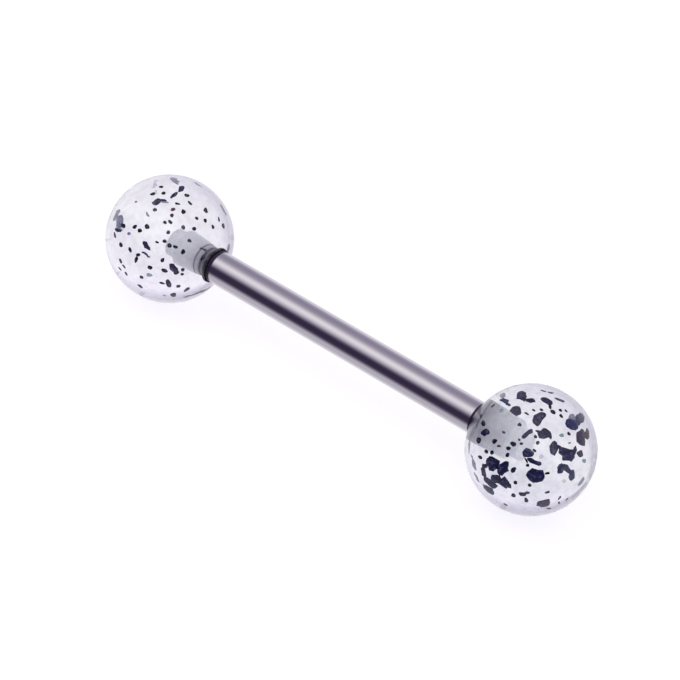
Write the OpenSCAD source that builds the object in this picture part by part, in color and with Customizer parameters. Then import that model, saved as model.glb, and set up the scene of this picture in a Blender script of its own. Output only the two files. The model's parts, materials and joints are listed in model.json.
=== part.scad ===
// Straight tongue barbell: a steel bar with a threaded post at each end, and two
// clear acrylic balls that screw onto the posts. It lies on its balls, with the
// bar along X, its middle over the origin and the surface below it at z = 0.
// All sizes are in millimetres.

/* [Bar] */
// Thickness of the shaft, 1.6 for 14 gauge
shaft_d = 1.6; // [1.6:0.2:2.4]
// Clear length of the shaft from ball to ball
wear_length = 16; // [10:1:40]
// Narrowing of the shoulder at each end of the shaft, on the radius
shoulder_taper = 0.04; // [0.02:0.02:0.1]

/* [Thread] */
// Outer diameter of the thread on each post
thread_d = 1.2; // [1.0:0.1:1.3]
// Distance from one turn of the thread to the next
thread_pitch = 0.25; // [0.2:0.05:0.35]
// Length of each post past the shoulder
post_length = 1.9; // [1.5:0.1:2.3]

/* [Balls] */
// Diameter of each ball
ball_d = 6; // [6:0.5:8]
// Depth of the recess that takes the end of the shaft
recess_depth = 0.2; // [0.15:0.05:0.4]
// Room round the shaft in the recess, and between its shoulder and the bottom
recess_room = 0.05; // [0.03:0.01:0.08]
// Room between the thread's crests and the wall of the hole's threaded part
hole_room = 0.03; // [0.02:0.01:0.05]
// Room between the post's tip and the end of the hole's threaded part
tip_room = 0.15; // [0.1:0.05:0.3]
// Diameter of the drilled core, which goes on past the threaded part
core_d = 0.95; // [0.8:0.05:1.0]
// How far the drilled core goes on, with the tap's lead as a cone at its start
core_length = 0.45; // [0.3:0.05:0.6]
// Length of that cone
lead_length = 0.15; // [0.1:0.05:0.2]

/* [Detail] */
// Sides of the helical thread
thread_sides = 16; // [14:2:20]

/* [Hidden] */

round_fn = 96;
shaft_r = shaft_d / 2;
ball_r = ball_d / 2;
thread_r = thread_d / 2;
// Depth of a metric thread, and the flat widths of its 60 degree form as shares
// of the pitch
thread_depth = 0.6134 * thread_pitch;
thread_form = [
    // [share of the pitch, share of the depth]
    [0,      0],
    [0.25,   0],
    [0.5625, 1],
    [0.6875, 1],
];
form_rows = len(thread_form);
// The post's thread starts inside the shaft and runs past the tip, and is then
// cut to length
thread_overrun = 2 * thread_pitch;
tip_bevel = thread_depth;

recess_r = shaft_r + recess_room;
hole_r = thread_r + hole_room;
core_r = core_d / 2;
// The rim of each recess, where it breaks through the ball, is at half the clear
// length. The shaft is full round up to there, and its tapered shoulder sinks in
rim_x = wear_length / 2;
ball_x = rim_x + sqrt(ball_r * ball_r - recess_r * recess_r);
post_start_x = rim_x + recess_depth - recess_room;
hole_depth = post_start_x + post_length + tip_room - rim_x;
axis_z = ball_r;

// A point of the helix: row counts along the bar, side counts round it
function thread_point(row, side) =
    let (
        form = thread_form[row % form_rows],
        turns = floor(row / form_rows) + form[0] + side / thread_sides,
        radius = thread_r - thread_depth * (1 - form[1]),
        angle = 360 * side / thread_sides
    )
    [radius * cos(angle), radius * sin(angle), turns * thread_pitch];

// A right-handed thread as one closed solid that climbs along +Z, with its ends
// drawn to a point on the axis
module thread_blank(length) {
    rows = form_rows * ceil(length / thread_pitch);
    // One turn past the last side is the same line as the first side a pitch on
    function at(row, side) =
        side == thread_sides ? (row + form_rows) * thread_sides : row * thread_sides + side;
    points = [
        for (row = [0 : rows + form_rows], side = [0 : thread_sides - 1])
            thread_point(row, side)
    ];
    low = len(points);
    high = low + 1;
    ends = [[0, 0, 0], [0, 0, (rows / form_rows + 1) * thread_pitch]];
    wall = [
        for (row = [0 : rows - 1], side = [0 : thread_sides - 1])
            each [
                [at(row, side), at(row + 1, side), at(row + 1, side + 1)],
                [at(row, side), at(row + 1, side + 1), at(row, side + 1)],
            ]
    ];
    caps = [
        for (side = [0 : thread_sides - 1])
            each [
                [low, at(0, side), at(0, side + 1)],
                [high, at(rows, side + 1), at(rows, side)],
            ]
    ];
    seams = [
        for (row = [0 : form_rows - 1])
            each [
                [low, at(row + 1, 0), at(row, 0)],
                [high, at(rows + row, 0), at(rows + row + 1, 0)],
            ]
    ];
    polyhedron(concat(points, ends), concat(wall, caps, seams), convexity = 10);
}

// One post with its tip bevelled, standing on z = 0 and rooted in the shaft below
module threaded_post() {
    intersection() {
        translate([0, 0, -thread_overrun])
            thread_blank(post_length + 2 * thread_overrun);
        union() {
            translate([0, 0, -thread_overrun / 2])
                cylinder(h = thread_overrun / 2 + post_length - tip_bevel,
                    r = thread_r + thread_depth, $fn = round_fn);
            translate([0, 0, post_length - tip_bevel])
                cylinder(h = tip_bevel, r1 = thread_r, r2 = thread_r - tip_bevel,
                    $fn = round_fn);
        }
    }
}

// The plain shaft with a tapered shoulder at each end, centred and along Z
module shaft() {
    rotate_extrude($fn = round_fn)
        polygon([
            [0, -post_start_x],
            [shaft_r - shoulder_taper, -post_start_x],
            [shaft_r, -rim_x],
            [shaft_r, rim_x],
            [shaft_r - shoulder_taper, post_start_x],
            [0, post_start_x],
        ]);
}

// The steel bar: shaft and both posts in one piece
module bar() {
    color("lightslategray")
        translate([0, 0, axis_z])
            union() {
                rotate([0, 90, 0])
                    shaft();
                for (turn = [0, 180])
                    rotate([0, 0, turn])
                        translate([post_start_x, 0, 0])
                            rotate([0, 90, 0])
                                threaded_post();
            }
}

// A clear ball at the +X end, with a recess and a blind hole that open towards
// the bar
module ball() {
    difference() {
        sphere(r = ball_r, $fn = round_fn);
        translate([rim_x - ball_x, 0, 0])
            rotate([0, 90, 0]) {
                cylinder(h = hole_depth, r = hole_r, $fn = round_fn);
                cylinder(h = hole_depth + core_length, r = core_r, $fn = round_fn);
                translate([0, 0, hole_depth])
                    cylinder(h = lead_length, r1 = hole_r, r2 = core_r, $fn = round_fn);
                translate([0, 0, -ball_r])
                    cylinder(h = ball_r + recess_depth, r = recess_r, $fn = round_fn);
            }
    }
}

// The ball with the fine black glitter
module left_ball() {
    color("lavender")
        translate([-ball_x, 0, axis_z])
            rotate([0, 0, 180])
                ball();
}

// The ball with the coarse black glitter
module right_ball() {
    color("lavender")
        translate([ball_x, 0, axis_z])
            ball();
}

bar();
left_ball();
right_ball();
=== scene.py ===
"""Looks of a straight tongue barbell: a polished steel bar and two clear balls with black glitter.

The bar lies along X and rests on its balls. The frame gives the bodies and the nodes that these
pieces dress or stand for. Lengths in the classes are in millimetres, and places along the bar are
measured from its middle. Meshes are made in metres.
"""

import json
import logging
import math
import random
from dataclasses import dataclass
from enum import Enum

import bmesh
import bpy
from mathutils import Euler, Matrix, Vector


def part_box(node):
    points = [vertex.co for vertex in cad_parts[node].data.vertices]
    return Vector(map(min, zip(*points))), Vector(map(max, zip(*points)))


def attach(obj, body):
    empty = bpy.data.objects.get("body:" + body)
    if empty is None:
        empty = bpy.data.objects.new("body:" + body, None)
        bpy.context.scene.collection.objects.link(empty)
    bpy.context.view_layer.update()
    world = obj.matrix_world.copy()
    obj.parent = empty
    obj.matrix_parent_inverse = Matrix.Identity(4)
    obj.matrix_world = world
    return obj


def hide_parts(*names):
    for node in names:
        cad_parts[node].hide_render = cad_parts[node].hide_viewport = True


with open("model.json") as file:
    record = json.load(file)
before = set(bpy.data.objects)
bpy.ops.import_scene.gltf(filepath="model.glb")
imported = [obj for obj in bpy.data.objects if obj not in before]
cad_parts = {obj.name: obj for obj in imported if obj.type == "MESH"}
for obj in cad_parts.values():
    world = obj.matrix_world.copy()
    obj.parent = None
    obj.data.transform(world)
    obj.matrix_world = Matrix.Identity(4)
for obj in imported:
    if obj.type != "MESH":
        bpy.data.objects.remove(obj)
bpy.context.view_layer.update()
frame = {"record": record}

LOG = logging.getLogger("tongue_barbell")
MM = 0.001
IMAGE_PX = 680
# Depth of a metric thread as a share of its pitch
METRIC_THREAD_DEPTH = 0.6134
# Places of the sockets that a Mix node uses for colours
MIX_SHARE = 0
MIX_FIRST = 6
MIX_SECOND = 7
MIX_COLOUR = 2
# Places of a Random Value node's outputs
RANDOM_VECTOR = 0
RANDOM_FLOAT = 1


def linear(colour: str) -> tuple[float, float, float, float]:
    """Turn an sRGB hex colour into the linear colour that the shaders take.

    Args:
        colour: Hex colour such as "#cbc5cf".

    Returns:
        Linear red, green and blue, and an alpha of 1.
    """
    shares = [int(colour[i:i + 2], 16) / 255 for i in (1, 3, 5)]
    channels = [s / 12.92 if s <= 0.04045 else ((s + 0.055) / 1.055) ** 2.4 for s in shares]
    return (channels[0], channels[1], channels[2], 1.0)


def add_node(
    tree: bpy.types.NodeTree,
    kind: str,
    values: dict[str | int, object] | None = None,
    links: dict[str | int, bpy.types.NodeSocket] | None = None,
    **settings: object,
) -> bpy.types.Node:
    """Add one node to a tree.

    Args:
        tree: Node tree that gets the node.
        kind: Blender's name for the kind of node.
        values: Values of input sockets, by the socket's name or place.
        links: Output sockets that feed input sockets, by the input's name or place.
        settings: The node's own settings.

    Returns:
        The new node.
    """
    node = tree.nodes.new(kind)
    for name, value in settings.items():
        setattr(node, name, value)
    for socket, value in (values or {}).items():
        node.inputs[socket].default_value = value
    for socket, source in (links or {}).items():
        tree.links.new(source, node.inputs[socket])
    return node


def fill_ramp(ramp: bpy.types.ColorRamp, stops: list[tuple[float, str]]) -> None:
    """Give a colour ramp its stops.

    Args:
        ramp: Ramp to fill.
        stops: Place from 0 to 1 and hex colour of each stop, in rising order.
    """
    while len(ramp.elements) > 1:
        ramp.elements.remove(ramp.elements[-1])
    ramp.elements[0].position = stops[0][0]
    ramp.elements[0].color = linear(stops[0][1])
    for place, colour in stops[1:]:
        ramp.elements.new(place).color = linear(colour)


def new_material(name: str) -> tuple[bpy.types.Material, bpy.types.NodeTree, bpy.types.Node]:
    """Start a material that holds one Principled BSDF.

    Args:
        name: The real material and how its surface was made.

    Returns:
        The material, its node tree and the shader node.
    """
    material = bpy.data.materials.new(name)
    material.use_nodes = True
    tree = material.node_tree
    return material, tree, tree.nodes["Principled BSDF"]


def new_piece(name: str, mesh: bpy.types.Mesh) -> bpy.types.Object:
    """Put a mesh into the scene as an object at the origin.

    Args:
        name: Name of the piece.
        mesh: Mesh that holds the piece's place.

    Returns:
        The new object.
    """
    piece = bpy.data.objects.new(name, mesh)
    bpy.context.scene.collection.objects.link(piece)
    return piece


def new_growth(
    name: str,
    inputs: dict[str, str],
) -> tuple[bpy.types.GeometryNodeTree, bpy.types.Node, bpy.types.Node]:
    """Start a Geometry Nodes tree with named inputs.

    Args:
        name: Name of the tree.
        inputs: Socket type of each input after the geometry, by name.

    Returns:
        The tree, its input node and its output node.
    """
    tree = bpy.data.node_groups.new(name, "GeometryNodeTree")
    tree.interface.new_socket("Geometry", in_out="INPUT", socket_type="NodeSocketGeometry")
    for label, kind in inputs.items():
        tree.interface.new_socket(label, in_out="INPUT", socket_type=kind)
    tree.interface.new_socket("Geometry", in_out="OUTPUT", socket_type="NodeSocketGeometry")
    return tree, add_node(tree, "NodeGroupInput"), add_node(tree, "NodeGroupOutput")


def grow(piece: bpy.types.Object, tree: bpy.types.GeometryNodeTree, inputs: dict[str, object]) -> None:
    """Run a Geometry Nodes tree on a piece and keep the result as its plain mesh.

    Args:
        piece: Object whose mesh goes into the tree.
        tree: Tree with named inputs.
        inputs: Value of each input by its name.
    """
    modifier = piece.modifiers.new(tree.name, "NODES")
    modifier.node_group = tree
    for item in tree.interface.items_tree:
        if item.item_type == "SOCKET" and item.in_out == "INPUT" and item.name in inputs:
            modifier[item.identifier] = inputs[item.name]
    evaluated = piece.evaluated_get(bpy.context.evaluated_depsgraph_get())
    grown = bpy.data.meshes.new_from_object(evaluated)
    piece.modifiers.remove(modifier)
    piece.data = grown


def angles_round(sides: int) -> list[float]:
    """Give the angles of evenly spaced points round a circle.

    Args:
        sides: Number of points.

    Returns:
        The angles in radians, from 0.
    """
    return [math.tau * side / sides for side in range(sides)]


def turned(
    name: str,
    outline: list[tuple[float, float]],
    sides: int,
    crease_deg: float,
) -> bpy.types.Mesh:
    """Turn an outline round the bar's direction into a closed mesh, as a lathe does.

    Args:
        name: Name of the mesh.
        outline: Places along X and radii in millimetres. The first and last radius are 0.
        sides: Number of sides.
        crease_deg: Angle in degrees above which an edge stays sharp.

    Returns:
        The mesh in metres, with its axis on X.
    """
    shape = bmesh.new()
    rings = []
    for along, radius in outline:
        if radius == 0:
            rings.append([shape.verts.new((along * MM, 0, 0))] * sides)
            continue
        rings.append([
            shape.verts.new((along * MM, radius * MM * math.cos(turn), radius * MM * math.sin(turn)))
            for turn in angles_round(sides)
        ])
    for ring, following in zip(rings, rings[1:]):
        for side in range(sides):
            beside = (side + 1) % sides
            # At a pole two of the four corners are the same point, and the face is a triangle
            corners = dict.fromkeys((ring[side], following[side], following[beside], ring[beside]))
            shape.faces.new(corners)
    bmesh.ops.recalc_face_normals(shape, faces=shape.faces)
    mesh = bpy.data.meshes.new(name)
    shape.to_mesh(mesh)
    shape.free()
    mesh.shade_smooth()
    mesh.set_sharp_from_angle(angle=math.radians(crease_deg))
    return mesh


def report(piece: bpy.types.Object) -> None:
    """Log a finished piece's name and number of faces."""
    LOG.info("%s: %d faces", piece.name, len(piece.data.polygons))


class Side(Enum):
    """The two ends of the bar, by the direction of each from the middle."""

    LEFT = -1
    RIGHT = 1


class Tint(Enum):
    """Colours of the glitter, with where each colour starts on the ramp that the flakes read."""

    INK = (0.0, "#25213f")
    NIGHT = (0.1, "#343764")
    PLUM = (0.2, "#54486a")
    STEEL = (0.3, "#555c82")
    BLUE = (0.4, "#38437f")
    # Painted glints: the violet and sea flakes are pale, in the colours of the holographic glints that
    # the film throws
    VIOLET = (0.5, "#b5a2f0")
    SEA = (0.6, "#d2fff2")
    RUST = (0.7, "#76575f")
    MIST = (0.8, "#aab2d0")
    HAZE = (0.9, "#d4d6ea")

    @property
    def place(self) -> float:
        """Place on the ramp that reads as this colour, a small step past where it starts."""
        step = 0.02
        return self.value[0] + step


@dataclass(frozen=True)
class PolishedSteel:
    """Surgical steel bar stock, drawn and polished: a bright mirror with faint lines along it."""

    colour: str = "#cbc8cc"
    roughness: float = 0.12
    # Width and length of the lines, and how much rougher and smoother they are than the rest
    line_mm: float = 0.06
    line_length_mm: float = 4.0
    line_roughness: float = 0.05

    def material(self) -> bpy.types.Material:
        """Build the material of the plain shaft.

        Returns:
            The material.
        """
        material, tree, shader = new_material("polished_surgical_steel")
        shader.inputs["Metallic"].default_value = 1.0
        shader.inputs["Base Color"].default_value = linear(self.colour)
        along = 1 / (self.line_length_mm * MM)
        across = 1 / (self.line_mm * MM)
        place = add_node(tree, "ShaderNodeTexCoord")
        stretch = add_node(
            tree, "ShaderNodeMapping", values={"Scale": (along, across, across)},
            links={"Vector": place.outputs["Object"]},
        )
        lines = add_node(
            tree, "ShaderNodeTexNoise", values={"Scale": 1.0, "Detail": 3.0},
            links={"Vector": stretch.outputs["Vector"]},
        )
        gloss = add_node(
            tree, "ShaderNodeMapRange",
            values={
                "To Min": self.roughness - self.line_roughness,
                "To Max": self.roughness + self.line_roughness,
            },
            links={"Value": lines.outputs["Fac"]},
        )
        tree.links.new(gloss.outputs["Result"], shader.inputs["Roughness"])
        return material


@dataclass(frozen=True)
class CutSteel:
    """The same steel where the thread was cut, left as it came off the die: duller and grainy."""

    colour: str = "#8f8b97"
    roughness: float = 0.3
    grain_mm: float = 0.05
    grain_roughness: float = 0.1

    def material(self) -> bpy.types.Material:
        """Build the material of the threaded posts.

        Returns:
            The material.
        """
        material, tree, shader = new_material("cut_surgical_steel")
        shader.inputs["Metallic"].default_value = 1.0
        shader.inputs["Base Color"].default_value = linear(self.colour)
        place = add_node(tree, "ShaderNodeTexCoord")
        grain = add_node(
            tree, "ShaderNodeTexNoise", values={"Scale": 1 / (self.grain_mm * MM), "Detail": 2.0},
            links={"Vector": place.outputs["Object"]},
        )
        gloss = add_node(
            tree, "ShaderNodeMapRange",
            values={
                "To Min": self.roughness - self.grain_roughness,
                "To Max": self.roughness + self.grain_roughness,
            },
            links={"Value": grain.outputs["Fac"]},
        )
        tree.links.new(gloss.outputs["Result"], shader.inputs["Roughness"])
        return material


@dataclass(frozen=True)
class PaintedShadeLandSteel:
    """The land at each end of the shaft, turned in fine rings and painted nearly black: painted shade
    where the shaft goes into the ball.
    """

    colour: str = "#372e44"
    # Less than a bare metal's, so that the land reflects little and keeps its painted shade
    metallic: float = 0.6
    roughness: float = 0.4
    ring_mm: float = 0.03
    ring_roughness: float = 0.08

    def material(self) -> bpy.types.Material:
        """Build the material of the land and of the part that sinks into the ball.

        Returns:
            The material.
        """
        material, tree, shader = new_material("surgical_steel_land_painted_shade")
        shader.inputs["Metallic"].default_value = self.metallic
        shader.inputs["Base Color"].default_value = linear(self.colour)
        place = add_node(tree, "ShaderNodeTexCoord")
        parts = add_node(tree, "ShaderNodeSeparateXYZ", links={"Vector": place.outputs["Object"]})
        turns = add_node(
            tree, "ShaderNodeMath", operation="MULTIPLY", values={1: math.tau / (self.ring_mm * MM)},
            links={0: parts.outputs["X"]},
        )
        rings = add_node(tree, "ShaderNodeMath", operation="SINE", links={0: turns.outputs["Value"]})
        gloss = add_node(
            tree, "ShaderNodeMapRange",
            values={
                "From Min": -1.0,
                "To Min": self.roughness - self.ring_roughness,
                "To Max": self.roughness + self.ring_roughness,
            },
            links={"Value": rings.outputs["Value"]},
        )
        tree.links.new(gloss.outputs["Result"], shader.inputs["Roughness"])
        return material


@dataclass(frozen=True)
class CastAcrylic:
    """Clear cast acrylic, tumbled bright: it bends what is behind it, and has faint lavender clouds."""

    colour: str = "#f6f5f9"
    cloud_colour: str = "#e3e1ea"
    cloud_mm: float = 0.3
    # Levels of the noise between which a cloud thickens
    cloud_from: float = 0.4
    cloud_to: float = 0.7
    ior: float = 1.49
    # Shallow waves that tumbling leaves on the surface, which keep its highlights from being perfect
    wave_mm: float = 1.2
    wave_depth_mm: float = 0.004

    def material(self) -> bpy.types.Material:
        """Build the material of a ball's outside.

        Returns:
            The material.
        """
        material, tree, shader = new_material("cast_acrylic_polished")
        shader.inputs["Roughness"].default_value = 0.0
        shader.inputs["IOR"].default_value = self.ior
        shader.inputs["Transmission Weight"].default_value = 1.0
        place = add_node(tree, "ShaderNodeTexCoord")
        clouds = add_node(
            tree, "ShaderNodeTexNoise", values={"Scale": 1 / (self.cloud_mm * MM), "Detail": 2.0},
            links={"Vector": place.outputs["Object"]},
        )
        density = add_node(
            tree, "ShaderNodeMapRange",
            values={"From Min": self.cloud_from, "From Max": self.cloud_to},
            links={"Value": clouds.outputs["Fac"]},
        )
        colour = add_node(
            tree, "ShaderNodeMix", data_type="RGBA",
            values={MIX_FIRST: linear(self.colour), MIX_SECOND: linear(self.cloud_colour)},
            links={MIX_SHARE: density.outputs["Result"]},
        )
        waves = add_node(
            tree, "ShaderNodeTexNoise", values={"Scale": 1 / (self.wave_mm * MM), "Detail": 0.0},
            links={"Vector": place.outputs["Object"]},
        )
        surface = add_node(
            tree, "ShaderNodeBump", values={"Distance": self.wave_depth_mm * MM},
            links={"Height": waves.outputs["Fac"]},
        )
        tree.links.new(colour.outputs[MIX_COLOUR], shader.inputs["Base Color"])
        tree.links.new(surface.outputs["Normal"], shader.inputs["Normal"])
        return material


@dataclass(frozen=True)
class TappedAcrylic:
    """The tapped hole's wall, torn by the tap: a soft grey plug lit by a painted glow, with dark grooves
    of painted shade at its mouth.

    The painted grooves fade as they get deeper.
    """

    start_x: float
    end_x: float
    # Painted light, by depth: the torn wall glows though it is no lamp, in place of light that it
    # scatters out of the clear ball round it
    wall_painted_light: tuple[tuple[float, str], ...]
    # Colour of the wall by its depth, with painted shade: the mouth and the grooves are the darker stops
    wall_colours_with_painted_shade: tuple[tuple[float, str], ...] = (
        (0.0, "#1a1722"), (0.18, "#120c1a"), (0.23, "#4a4755"), (0.4, "#6f6e7b"), (0.46, "#312d3b"),
        (0.55, "#312d3b"), (0.62, "#a9aab2"), (0.8, "#c8cacf"), (0.84, "#868792"), (0.89, "#868792"),
        (0.95, "#dbdedf"), (1.4, "#eef3f2"), (2.35, "#eef3f2"),
    )
    ior: float = 1.49
    roughness: float = 0.45
    clearness: float = 0.15

    def material(self) -> bpy.types.Material:
        """Build the material of a ball's threaded hole.

        Returns:
            The material.
        """
        material, tree, shader = new_material("cast_acrylic_tapped")
        shader.inputs["Roughness"].default_value = self.roughness
        shader.inputs["IOR"].default_value = self.ior
        shader.inputs["Transmission Weight"].default_value = self.clearness
        # Painted light: the wall glows by its depth though it is no lamp
        shader.inputs["Emission Strength"].default_value = 1.0
        place = add_node(tree, "ShaderNodeTexCoord")
        parts = add_node(tree, "ShaderNodeSeparateXYZ", links={"Vector": place.outputs["Object"]})
        along = add_node(tree, "ShaderNodeMath", operation="ABSOLUTE", links={0: parts.outputs["X"]})
        depth = add_node(
            tree, "ShaderNodeMapRange",
            values={"From Min": self.start_x * MM, "From Max": self.end_x * MM},
            links={"Value": along.outputs["Value"]},
        )
        reach = self.end_x - self.start_x
        for stops, socket in ((self.wall_colours_with_painted_shade, "Base Color"), (self.wall_painted_light, "Emission Color")):
            ramp = add_node(tree, "ShaderNodeValToRGB", links={"Fac": depth.outputs["Result"]})
            fill_ramp(ramp.color_ramp, [(deep / reach, colour) for deep, colour in stops])
            tree.links.new(ramp.outputs["Color"], shader.inputs[socket])
        return material


@dataclass(frozen=True)
class RecessPaintedShade:
    """Painted shade in the recess: a matt, dark violet ring with paler mottles."""

    # Painted shade: dark where light hardly reaches into the recess
    colour: str = "#3b3445"
    mottle_colour: str = "#5d5669"
    mottle_mm: float = 0.15
    roughness: float = 0.6
    sheen: float = 0.1

    def material(self) -> bpy.types.Material:
        """Build the material of the recess's wall and bottom.

        Returns:
            The material.
        """
        material, tree, shader = new_material("recess_painted_shade")
        shader.inputs["Roughness"].default_value = self.roughness
        shader.inputs["Specular IOR Level"].default_value = self.sheen
        place = add_node(tree, "ShaderNodeTexCoord")
        mottles = add_node(
            tree, "ShaderNodeTexNoise", values={"Scale": 1 / (self.mottle_mm * MM), "Detail": 3.0},
            links={"Vector": place.outputs["Object"]},
        )
        colour = add_node(
            tree, "ShaderNodeMix", data_type="RGBA",
            values={MIX_FIRST: linear(self.colour), MIX_SECOND: linear(self.mottle_colour)},
            links={MIX_SHARE: mottles.outputs["Fac"]},
        )
        tree.links.new(colour.outputs[MIX_COLOUR], shader.inputs["Base Color"])
        return material


@dataclass(frozen=True)
class GlitterFoil:
    """Glitter cut from black lacquered film: near black and crinkled, with a few flakes in colour; the
    violet and sea ones are painted glints.

    Flakes of the palest tints are pale and partly clear, so that the acrylic shows through them.
    """

    attribute: str = "tint"
    # The acrylic round the film takes away its gloss, which leaves a dull sheen
    metallic: float = 0.15
    roughness: float = 0.45
    # Paler worn spots of the lacquer: their size, the levels of the noise between which they come
    # in, and how much of the tint the palest would cover
    spot_mm: float = 0.16
    spot_from: float = 0.5
    spot_to: float = 0.75
    spot_cover: float = 0.6
    spot_colour: str = "#9396bd"
    # Folds of the film, which break up its reflection
    fold_mm: float = 0.1
    fold_depth_mm: float = 0.02
    # Tints between which the film gets clear, and how much the clearest film still covers
    clear_from: float = 0.72
    clear_to: float = 0.92
    least_cover: float = 0.22

    def material(self) -> bpy.types.Material:
        """Build the material that every flake shares, coloured by its own tint.

        Returns:
            The material.
        """
        material, tree, shader = new_material("lacquered_film_glitter")
        shader.inputs["Metallic"].default_value = self.metallic
        shader.inputs["Roughness"].default_value = self.roughness
        shader.inputs["Specular IOR Level"].default_value = 0.0
        tint = add_node(tree, "ShaderNodeAttribute", attribute_name=self.attribute)
        ramp = add_node(tree, "ShaderNodeValToRGB", links={"Fac": tint.outputs["Fac"]})
        ramp.color_ramp.interpolation = "CONSTANT"
        fill_ramp(ramp.color_ramp, [choice.value for choice in Tint])
        place = add_node(tree, "ShaderNodeTexCoord")
        spots = add_node(
            tree, "ShaderNodeTexNoise", values={"Scale": 1 / (self.spot_mm * MM), "Detail": 2.0},
            links={"Vector": place.outputs["Object"]},
        )
        worn = add_node(
            tree, "ShaderNodeMapRange",
            values={"From Min": self.spot_from, "From Max": self.spot_to, "To Max": self.spot_cover},
            links={"Value": spots.outputs["Fac"]},
        )
        colour = add_node(
            tree, "ShaderNodeMix", data_type="RGBA", values={MIX_SECOND: linear(self.spot_colour)},
            links={MIX_SHARE: worn.outputs["Result"], MIX_FIRST: ramp.outputs["Color"]},
        )
        folds = add_node(
            tree, "ShaderNodeTexNoise", values={"Scale": 1 / (self.fold_mm * MM), "Detail": 1.0},
            links={"Vector": place.outputs["Object"]},
        )
        crinkle = add_node(
            tree, "ShaderNodeBump", values={"Distance": self.fold_depth_mm * MM},
            links={"Height": folds.outputs["Fac"]},
        )
        cover = add_node(
            tree, "ShaderNodeMapRange",
            values={
                "From Min": self.clear_from,
                "From Max": self.clear_to,
                "To Min": 1.0,
                "To Max": self.least_cover,
            },
            links={"Value": tint.outputs["Fac"]},
        )
        tree.links.new(colour.outputs[MIX_COLOUR], shader.inputs["Base Color"])
        tree.links.new(crinkle.outputs["Normal"], shader.inputs["Normal"])
        tree.links.new(cover.outputs["Result"], shader.inputs["Alpha"])
        return material


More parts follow.
